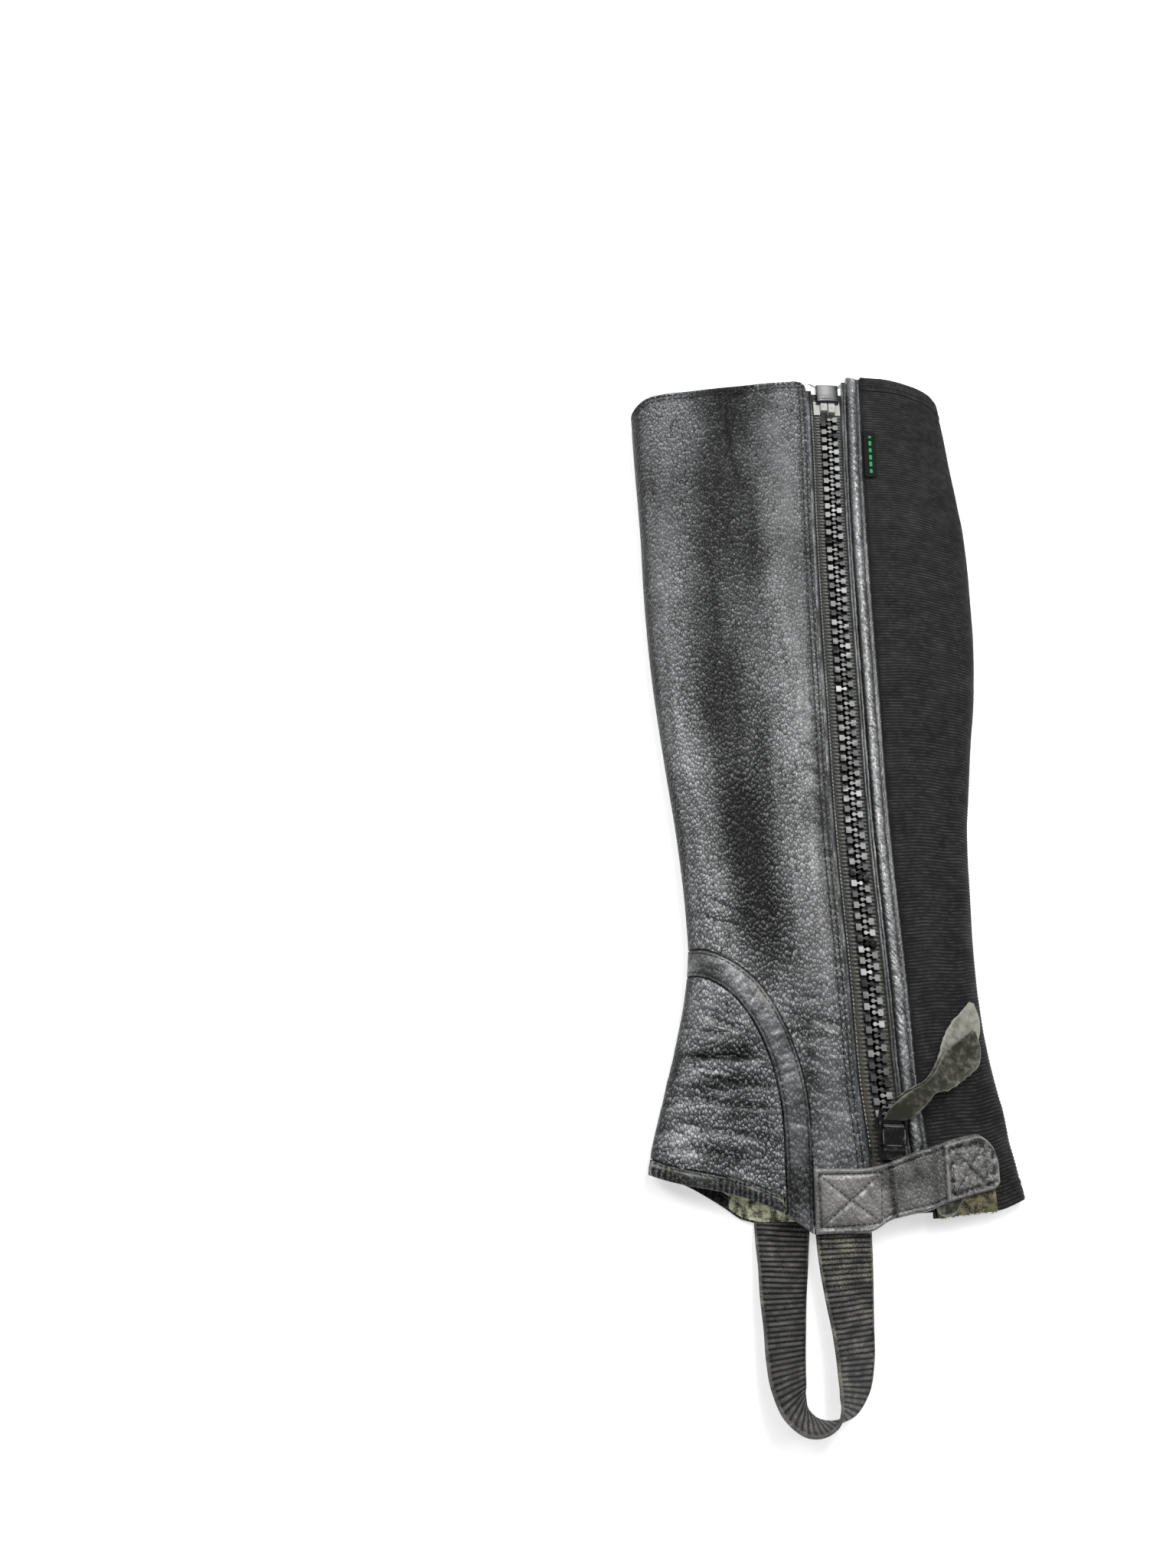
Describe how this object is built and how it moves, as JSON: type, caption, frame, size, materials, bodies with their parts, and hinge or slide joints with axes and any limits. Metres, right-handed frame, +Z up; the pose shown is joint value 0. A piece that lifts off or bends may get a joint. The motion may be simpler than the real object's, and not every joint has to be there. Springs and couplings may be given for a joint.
{
  "type": "half chap",
  "caption": "Half chap laid flat: a tube of black leather and ribbed elastic for the lower leg, with a side zip, an ankle strap and a stirrup loop of webbing",
  "frame": {"origin": "middle of the bounding box, on the surface that it lies on", "axes": "+Y from the ankle to the knee, +Z up out of the side with the zip, +X from the shin fold to the calf fold"},
  "size_m": [0.1826, 0.5302, 0.0285],
  "materials": {
    "black_leather": "worn, pebbled",
    "ribbed_elastic": "matt, cross ribbed",
    "ribbed_webbing": "matt, cross ribbed",
    "zip_tape": "matt twill",
    "moulded_zip": "glossy",
    "zip_pin_plastic": "satin",
    "enamelled_slider": "glossy enamel, worn at the edges",
    "lace_leather": "suede, dusty",
    "loop_fabric": "fuzzy loops",
    "woven_tag": "woven, blank"
  },
  "bodies": {
    "chap": {"ankle_band": "black_leather", "ankle_gusset": "black_leather", "ankle_strap": "black_leather", "elastic_panel": "ribbed_elastic", "gusset_binding": "black_leather", "inner_patch": "loop_fabric", "label": "woven_tag", "leg_leather": "black_leather", "loop_patch": "loop_fabric", "slider_body": "enamelled_slider", "stirrup_webbing": "ribbed_webbing", "strap_end_patch": "black_leather", "zip_binding_roll": "black_leather", "zip_box": "moulded_zip", "zip_chain": "moulded_zip", "zip_facing": "black_leather", "zip_pins": "zip_pin_plastic", "zip_tape_calf": "zip_tape", "zip_tape_shin": "zip_tape"},
    "zip_pull": {"zip_pull_plate": "enamelled_slider", "thong_front": "lace_leather", "thong_back": "lace_leather"}
  },
  "joints": [
    {"name": "zip_pull_hinge", "type": "hinge", "parent": "chap", "child": "zip_pull", "pos_m": [0.02112, -0.14817, 0.0234], "axis": [0.9955, -0.0619, -0.0723], "range_deg": [0, 100]}
  ]
}
